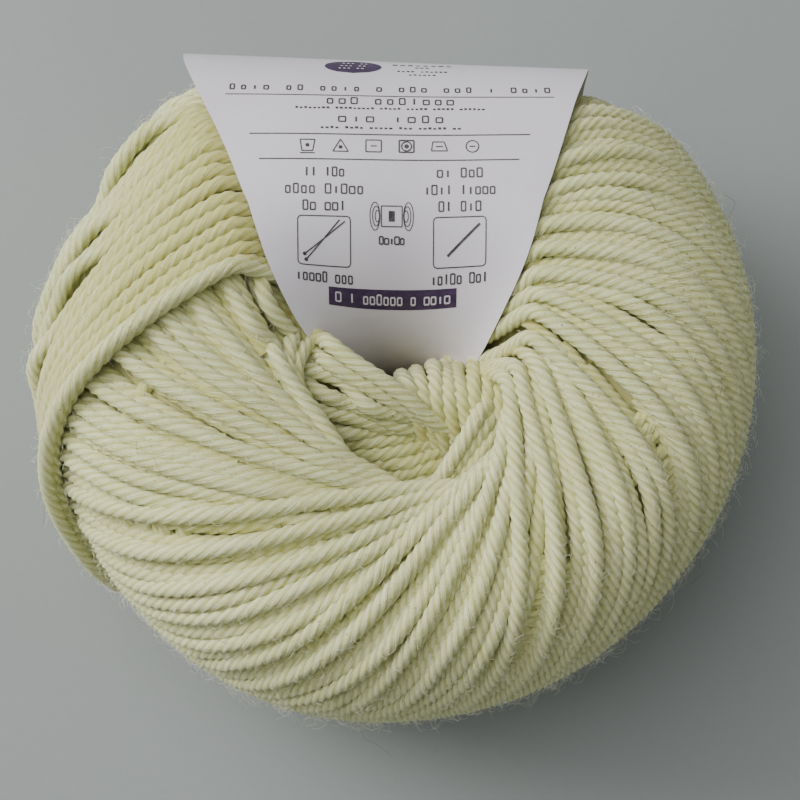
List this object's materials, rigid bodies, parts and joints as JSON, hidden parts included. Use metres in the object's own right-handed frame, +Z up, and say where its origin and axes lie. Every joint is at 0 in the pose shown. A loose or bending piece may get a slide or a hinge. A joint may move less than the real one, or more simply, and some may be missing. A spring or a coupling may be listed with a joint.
{
  "type": "skein of yarn",
  "caption": "Squat wound ball of plied knitting yarn with a centre hole, held by a paper band looped through the hole and round one side.",
  "frame": {"origin": "under the middle of the whole object's footprint, on the surface that it lies on", "axes": "+Z up along the winding axis, +Y towards the side that the paper band goes round, +X across the ball"},
  "size_m": [0.1159, 0.1056, 0.0686],
  "materials": {
    "yarn": "soft matt plied yarn, pale cream yellow",
    "paper": "satin coated paper, off-white"
  },
  "bodies": {
    "root": {"yarn_ball": "yarn", "paper_band": "paper"}
  },
  "joints": []
}
